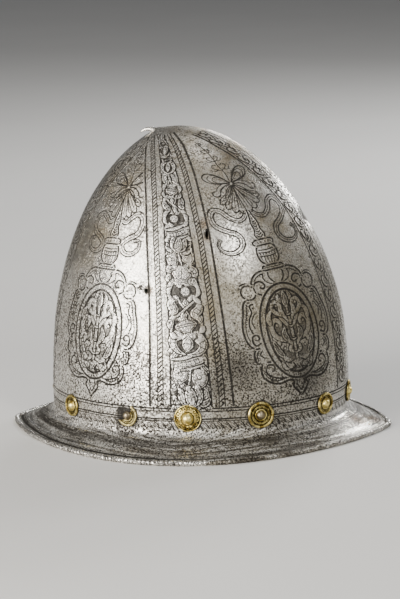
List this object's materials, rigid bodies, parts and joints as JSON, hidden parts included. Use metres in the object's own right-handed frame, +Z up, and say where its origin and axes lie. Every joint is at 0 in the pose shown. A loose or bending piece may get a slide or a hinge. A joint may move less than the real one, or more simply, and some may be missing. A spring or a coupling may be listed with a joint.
{
  "type": "cabasset helmet",
  "caption": "Open infantry helmet with a tall keeled almond skull, small hooked stalk and narrow pointed brim, etched bands, and brass rosettes holding a quilted lining.",
  "frame": {"origin": "on the ground under the middle of the brim, the centre of the whole part's box at its lowest face", "axes": "+X to the front, +Y to the wearer's left, +Z up"},
  "size_m": [0.3, 0.256, 0.2353],
  "materials": {
    "forged_steel": "forged, etched and polished, pitted with age",
    "gilt_brass": "stamped and gilt, rubbed",
    "brass": "domed and burnished",
    "iron": "dark, unpolished",
    "leather": "vegetable tanned, aged",
    "quilted_linen": "plain weave, undyed",
    "lace": "plaited linen cord"
  },
  "bodies": {
    "root": {"skull": "forged_steel", "lining_band": "leather", "lining": "quilted_linen", "lining_lace": "lace", "rivet_front": "brass", "rivet_rear": "brass", "rivet_right_1": "brass", "rivet_right_2": "brass", "rivet_right_3": "brass", "rivet_right_4": "brass", "rivet_right_5": "brass", "rivet_left_1": "brass", "rivet_left_2": "brass", "rivet_left_3": "brass", "rivet_left_4": "brass", "rivet_left_5": "brass", "rosette_front": "gilt_brass", "rosette_right_1": "gilt_brass", "rosette_right_2": "gilt_brass", "rosette_right_3": "gilt_brass", "rosette_right_4": "gilt_brass", "rosette_right_5": "gilt_brass", "rosette_left_1": "gilt_brass", "rosette_left_2": "gilt_brass", "rosette_left_3": "gilt_brass", "rosette_left_4": "gilt_brass", "rosette_left_5": "gilt_brass", "rove_front": "iron", "rove_rear": "iron", "rove_right_1": "iron", "rove_right_2": "iron", "rove_right_3": "iron", "rove_right_4": "iron", "rove_right_5": "iron", "rove_left_1": "iron", "rove_left_2": "iron", "rove_left_3": "iron", "rove_left_4": "iron", "rove_left_5": "iron"}
  },
  "joints": []
}
